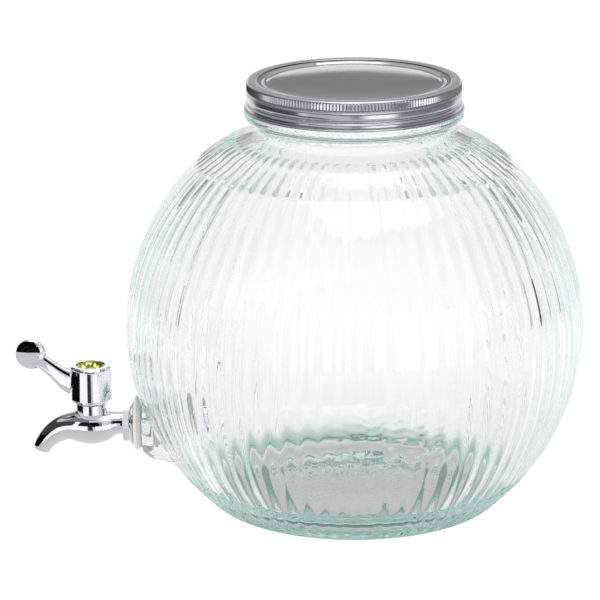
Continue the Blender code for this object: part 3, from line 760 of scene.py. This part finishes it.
def tap_handle(material):
    foot = HANDLE_LOW[2] / MM
    top = 80.2
    shell = [
        (0, top, 0),
        (10.9, top, 0.3),
        (12.3, 79.2, 1.3),
        (13.0, foot + 2.5, 0.3),
        (10.5, foot, 0.3),
        (0, foot, 0),
    ]
    handle = on_valve(revolve("lever_handle", filleted(shell, cuts=8), 144))
    middle = [
        (-4.0, 69.4, 8.0, 4.2),
        (-9.0, 69.6, 8.0, 4.0),
        (-13.5, 70.9, 7.2, 3.8),
        (-17.5, 73.7, 5.9, 3.6),
        (-21.7, 77.1, 5.0, 3.4),
        (-26.0, 80.5, 4.7, 3.3),
        (-30.6, 83.9, 4.6, 3.2),
        (-34.2, 86.3, 4.4, 3.2),
    ]
    line = [(VALVE_Y + y * MM, z * MM, w * MM, t * MM) for y, z, w, t in smooth_line(middle, 8)]
    combine(handle, sweep("arm", line, 64, power=3.0), "UNION")
    knob = [
        (0, 5.0, 0),
        (2.4, 4.85, 1.2),
        (4.8, 4.35, 1.2),
        (7.2, 3.45, 0.8),
        (KNOB_R / MM, 1.9, 1.4),
        (KNOB_R / MM, -1.9, 1.4),
        (7.2, -3.45, 0.8),
        (4.8, -4.35, 1.2),
        (2.4, -4.85, 1.2),
        (0, -5.0, 0),
    ]
    knob = revolve("knob", filleted(knob, cuts=8), 128)
    place(knob, Matrix.Translation((0, KNOB_Y, 87.0 * MM)) @ Matrix.Rotation(math.radians(90), 4, "Y"))
    combine(handle, knob, "UNION")
    hollow = [(0, 61, 0), (8.2, 61, 0), (8.2, foot - 2, 0), (0, foot - 2, 0)]
    combine(handle, on_valve(revolve("hollow", filleted(hollow))), "DIFFERENCE")
    socket = [(0, 70.3, 0), (4.38, 70.3, 0), (4.38, 60, 0), (0, 60, 0)]
    socket = revolve("socket", filleted(socket), 4)
    place(socket, Matrix.Rotation(math.radians(45), 4, "Z"))
    combine(handle, on_valve(socket), "DIFFERENCE")
    combine(handle, on_valve(cylinder("screw_hole", 2.2 * MM, 8 * MM, 32), 68 * MM), "DIFFERENCE")
    recess = filleted([(0, 90, 0), (9.6, 90, 0), (8.7, 79.9, 0.4), (8.7, 72.3, 0), (0, 72.3, 0)])
    combine(handle, on_valve(revolve("recess", recess, 128)), "DIFFERENCE")
    smooth(handle, 32)
    return finish_piece(handle, material, "handle", "chrome", "tap_handle")


def gold_cap(material):
    """Dished insert with a rim and radial facets round a raised centre."""
    rim = CAP_HIGH[2] / MM
    corners = [
        (0, rim - 1.5, 0),
        (2.6, rim - 1.6, 0.4),
        (3.2, rim - 2.3, 0.4),
        (7.2, rim - 0.5, 0.2),
        (7.5, rim, 0.3),
        (8.4, rim - 0.1, 0.3),
        (8.4, rim - 3.6, 0.2),
        (0, rim - 3.6, 0),
    ]
    cap = revolve("gold_insert", resampled(filleted(corners), 0.4 * MM), 96)
    for vertex in cap.data.vertices:
        radius = math.hypot(vertex.co.x, vertex.co.y) / MM
        if 3.1 < radius < 7.3 and vertex.co.z > (rim - 3) * MM:
            angle = math.atan2(vertex.co.y, vertex.co.x)
            ridge = abs((angle * 12 / math.tau) % 1 - 0.5) * 2
            fade = min(radius - 3.1, 7.3 - radius, 1.0)
            vertex.co.z -= 0.7 * MM * ridge * fade
    smooth(on_valve(cap), 20)
    return finish_piece(cap, material, "handle", "gold", "handle_cap")


def outer_washer(material):
    """Bevelled silicone washer with its sharp edge towards the flange."""
    back, front = -WASHER_HIGH[1] / MM, -WASHER_LOW[1] / MM
    corners = [
        (13.2, front, 0.6),
        (15.6, front - 0.5, 1.0),
        (16.4, front - 1.7, 0.5),
        (14.6, back, 0.6),
        (8.2, back, 0.2),
        (8.2, front, 0.2),
    ]
    ring = along_tap(revolve("silicone_washer", filleted(corners, closed=True), 128, closed=True))
    return finish_piece(smooth(ring), material, "vessel", "silicone", "outer_washer")


def inside_fittings(silicone, plastic):
    """Washer, slip washer and nut on the shank inside the jar."""
    back, front = -INNER_WASHER_HIGH[1] / MM, -INNER_WASHER_LOW[1] / MM
    corners = [(15, front, 0.5), (15, back, 0.8), (8.2, back, 0.2), (8.2, front, 0.2)]
    washer = along_tap(revolve("inside_washer", filleted(corners, closed=True), 96, closed=True))
    finish_piece(smooth(washer), silicone, "vessel", "silicone", "inner_washer")
    back, front = -SLIP_HIGH[1] / MM, -SLIP_LOW[1] / MM
    corners = [(13.5, front, 0.2), (13.5, back, 0.2), (8.2, back, 0.1), (8.2, front, 0.1)]
    slip = along_tap(revolve("inside_slip_washer", filleted(corners, closed=True), 96, closed=True))
    finish_piece(smooth(slip), plastic, "vessel", "nut_plastic", "slip_washer")
    length = NUT_HIGH[1] - NUT_LOW[1]
    nut = hexagon("inside_nut", 13.6 * MM, length, 1.0 * MM)
    bore = place(cylinder("nut_bore", 8.2 * MM, length * 3), Matrix.Translation((0, 0, -length)))
    along_tap(combine(nut, bore, "DIFFERENCE"), NUT_HIGH[1])
    finish_piece(smooth(nut, 25), plastic, "vessel", "nut_plastic", "shank_nut")


def keep_cad(node, material):
    """An enclosed CAD node that stays, with its own material."""
    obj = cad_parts[node]
    for slot in obj.material_slots:
        slot.material = material


# ---------------------------------------------------------------- stage


def set_camera():
    data = bpy.data.cameras.new("camera")
    camera = bpy.data.objects.new("camera", data)
    bpy.context.scene.collection.objects.link(camera)
    data.lens = CAMERA_LENS
    data.sensor_width = 36
    ahead = Vector(
        (
            -math.cos(CAMERA_YAW) * math.cos(CAMERA_PITCH),
            math.sin(CAMERA_YAW) * math.cos(CAMERA_PITCH),
            -math.sin(CAMERA_PITCH),
        )
    )
    turn = ahead.to_track_quat("-Z", "Y") @ Matrix.Rotation(CAMERA_ROLL, 3, "Z").to_quaternion()
    camera.rotation_euler = turn.to_euler()
    camera.location = (CAMERA_DISTANCE, 0, CAMERA_HEIGHT)
    bpy.context.scene.camera = camera


def show_only_to(obj, *rays):
    """Leaves a stage piece visible to these kinds of ray and to no others."""
    for ray in ("camera", "diffuse", "glossy", "transmission", "volume_scatter", "shadow"):
        setattr(obj, f"visible_{ray}", ray in rays)


def glow_material(name, color, strength):
    material, _, _, shader = new_material(name, (0, 0, 0), 0.0, 1.0)
    shader.inputs["Specular IOR Level"].default_value = 0
    shader.inputs["Emission Color"].default_value = (*color, 1)
    shader.inputs["Emission Strength"].default_value = strength
    return material


def add_floor(name, material, *rays):
    bpy.ops.mesh.primitive_circle_add(vertices=96, radius=6, fill_type="NGON", location=(0, 0, -0.2 * MM))
    floor = bpy.context.object
    floor.name = name
    floor.data.materials.append(material)
    show_only_to(floor, *rays)


def shaded_floor_material(name, tones, sideways=False):
    """A glowing tabletop with painted shadow and light: its brightness follows the distance from the axis,
    or X measured from behind the jar.
    """
    material, nodes, links, shader = new_material(name, (0, 0, 0), 0.0, 1.0)
    shader.inputs["Specular IOR Level"].default_value = 0
    place_in = nodes.new("ShaderNodeTexCoord")
    ramp = tone_ramp(nodes, [(distance, (tone, tone, tone)) for distance, tone in tones])
    if sideways:
        split = nodes.new("ShaderNodeSeparateXYZ")
        links.new(place_in.outputs["Object"], split.inputs["Vector"])
        shifted = nodes.new("ShaderNodeMath")
        links.new(split.outputs["X"], shifted.inputs[0])
        shifted.inputs[1].default_value = METAL_FLOOR_START
        links.new(shifted.outputs["Value"], ramp.inputs["Fac"])
    else:
        length = nodes.new("ShaderNodeVectorMath")
        length.operation = "LENGTH"
        links.new(place_in.outputs["Object"], length.inputs[0])
        links.new(length.outputs["Value"], ramp.inputs["Fac"])
    links.new(ramp.outputs["Color"], shader.inputs["Emission Color"])
    shader.inputs["Emission Strength"].default_value = 1.0
    return material


def add_light(name, location, target, size, energy):
    data = bpy.data.lights.new(name, "AREA")
    data.shape = "RECTANGLE"
    data.size, data.size_y = size
    data.energy = energy
    light = bpy.data.objects.new(name, data)
    light.location = location
    light.rotation_euler = (Vector(target) - Vector(location)).to_track_quat("-Z", "Y").to_euler()
    bpy.context.scene.collection.objects.link(light)


def add_arc(name, center, radius, azimuths, heights, brightness, rays=("glossy",)):
    """A curved reflector or flag, seen only by these rays. Azimuths run from +X towards +Y, in degrees."""
    count = 24
    low, high = heights
    vertices = []
    for k in range(count + 1):
        angle = math.radians(azimuths[0] + (azimuths[1] - azimuths[0]) * k / count)
        x, y = center[0] + radius * math.cos(angle), center[1] + radius * math.sin(angle)
        vertices += [(x, y, low), (x, y, high)]
    faces = [(2 * k, 2 * k + 2, 2 * k + 3, 2 * k + 1) for k in range(count)]
    arc = mesh_object(name, vertices, faces)
    arc.data.materials.append(glow_material(name, (brightness, brightness, brightness), 1))
    show_only_to(arc, *rays)


def add_room():
    """The studio round the jar as the metal sees it: an even grey."""
    bpy.ops.mesh.primitive_uv_sphere_add(segments=48, ring_count=24, radius=4)
    room = bpy.context.object
    room.name = "room"
    room.data.materials.append(glow_material("room", (ROOM_GREY, ROOM_GREY, ROOM_GREY), 1))
    show_only_to(room, "glossy")


def light_tap():
    """White reflectors and black flags close round the tap, which give the plating its stripes."""
    valve = (0, VALVE_Y)
    knob = (0, KNOB_Y)
    add_arc("tap_white_left", valve, 0.10, (-52, -15), (0.018, 0.061), 1.05)
    add_arc("tap_stripe", valve, 0.098, (-13, 5), (0.018, 0.062), 0.03)
    add_arc("tap_white_right", valve, 0.10, (14, 50), (0.018, 0.061), 1.05)
    add_arc("tap_black_left", valve, 0.10, (-112, -54), (0.022, 0.060), 0.003)
    add_arc("tap_black_front", valve, 0.20, (-28, 24), (0.068, 0.185), 0.003)
    add_arc("tap_light_above", valve, 0.20, (-12, 50), (0.186, 0.24), 0.75)
    add_arc("tap_white_back", valve, 0.25, (140, 215), (0.08, 0.22), 1.1)
    add_arc("knob_grey", knob, 0.016, (-112, 32), (0.0716, 0.0884), 0.60)
    add_arc("knob_black", knob, 0.016, (-105, 32), (0.0884, 0.123), 0.003)


def light_lid():
    """The same studio round the lid, wider."""
    axis = (0, 0)
    add_arc("lid_white_left", axis, 0.40, (-54, -16), (0.08, 0.24), 1.7)
    add_arc("lid_stripe", axis, 0.39, (-13, 8), (0.08, 0.24), 0.20)
    add_arc("lid_white_right", axis, 0.40, (10, 42), (0.08, 0.24), 1.7)
    add_arc("lid_grey_right", axis, 0.40, (42, 125), (0.08, 0.24), 0.28)
    add_arc("lid_black_left", axis, 0.40, (-125, -56), (0.08, 0.24), 0.05)
    add_arc("lid_dark_above", axis, 0.41, (-125, 125), (0.24, 0.52), 0.20)
    add_arc("lid_white_back", axis, 1.5, (150, 210), (0.0, 0.533), 0.95)
    tones = ((0.533, 0.27), (0.59, 0.29), (0.63, 0.33), (0.67, 0.38), (0.71, 0.44), (0.75, 0.48), (1.5, 0))
    for k, (foot, tone) in enumerate(tones[:-1]):
        add_arc(f"lid_grey_back_{k}", axis, 1.5, (150, 210), (foot, tones[k + 1][0]), tone)


def shade_glass():
    """Dark flags out of the picture, which draw the thin dark lines where the glass bends light most."""
    axis = (0, 0)
    through = ("transmission",)
    upper, lower = (FLAG_SPLIT_Z, 1.2), (-0.1, FLAG_SPLIT_Z)
    parts = (("", (72, 104), upper), ("_front", (66, 80), lower), ("_back", (98, 112), lower))
    for side, sign in (("left", -1), ("right", 1)):
        for part, edges, heights in parts:
            azimuths = sorted(sign * edge for edge in edges)
            add_arc(f"glass_flag_{side}{part}", axis, FLAG_R, azimuths, heights, 0.0, through)
    add_arc("glass_flag_back", axis, FLAG_R, (112, 248), (FLAG_SPLIT_Z, 0.9), 0.32, through)
    add_arc("glass_flag_above", axis, 0.9, (100, 260), (1.3, 2.6), 0.12, through)
    add_foot_shade(through)


def add_foot_shade(rays):
    """A dark green glowing ring under the front of the foot, seen only through the glass: painted shade
    under the foot, tinted green, which darkens and greens the thick glass.
    """
    count = 24
    edges = (60 * MM, 84 * MM)
    angles = [math.radians(-100 + 200 * k / count) for k in range(count + 1)]
    ring = [(r * math.cos(a), r * math.sin(a), -0.1 * MM) for a in angles for r in edges]
    faces = [(2 * k, 2 * k + 1, 2 * k + 3, 2 * k + 2) for k in range(count)]
    shade = mesh_object("foot_shade", ring, faces)
    # Painted shade: a dark green glowing sheet standing in for the shade under the foot
    shade.data.materials.append(glow_material("foot_shade", (0.08, 0.22, 0.18), 1))
    show_only_to(shade, *rays)


def set_stage():
    light_paths = bpy.context.scene.cycles
    light_paths.max_bounces = BOUNCES + 20
    light_paths.glossy_bounces = BOUNCES
    light_paths.transmission_bounces = BOUNCES
    world = bpy.data.worlds.new("studio")
    world.use_nodes = True
    background = world.node_tree.nodes["Background"]
    background.inputs["Color"].default_value = (1.0, 0.973, 0.966, 1)
    background.inputs["Strength"].default_value = WORLD_STRENGTH
    bpy.context.scene.world = world
    bpy.context.scene.view_settings.view_transform = "Standard"
    add_floor("floor", glow_material("white_floor", (1, 1, 1), 1.05), "camera")
    # The tabletop seen through the glass carries a painted shadow under the jar
    add_floor("tabletop", shaded_floor_material("tabletop", TABLETOP_PAINTED_SHADOW_AND_LIGHT), "diffuse", "transmission")
    # The floor the metal sees carries painted light, bright behind the jar and shaded in front
    add_floor("metal_floor", shaded_floor_material("metal_floor", METAL_FLOOR_PAINTED_LIGHT, True), "glossy")
    add_light("top_softbox", (0.2, 0.1, 1.6), (0, 0, 0.1), (1.2, 1.2), 8)
    add_room()
    light_tap()
    light_lid()
    shade_glass()


def main():
    set_camera()
    set_stage()
    chrome = chrome_material()
    silicone = silicone_material()
    plastic = plastic_material("off_white_plastic", (0.80, 0.77, 0.69))
    brass = turned_metal_material("turned_brass", (0.78, 0.62, 0.32), 0.25)
    gold = turned_metal_material("gold_plate", (0.52, 0.48, 0.17), 0.14)
    steel = turned_metal_material("plain_steel", (0.62, 0.62, 0.63), 0.3)
    rubber = rubber_material()
    glass_vessel(glass_material())
    lid_band(tin_material("band_tinplate", 0.20, 0.26))
    lid_disc(tin_material("disc_tinplate", 0.055, 0.08))
    lid_gasket(silicone)
    tap_body(chrome)
    tap_handle(chrome)
    gold_cap(gold)
    outer_washer(silicone)
    inside_fittings(silicone, plastic)
    for node in ("valve_plug", "bonnet_nut"):
        keep_cad(node, brass)
    for node in ("plug_o_ring_upper", "plug_o_ring_lower"):
        keep_cad(node, rubber)
    for node in ("spring_washer", "handle_screw"):
        keep_cad(node, steel)
    keep_cad("thrust_washer", plastic)


main()
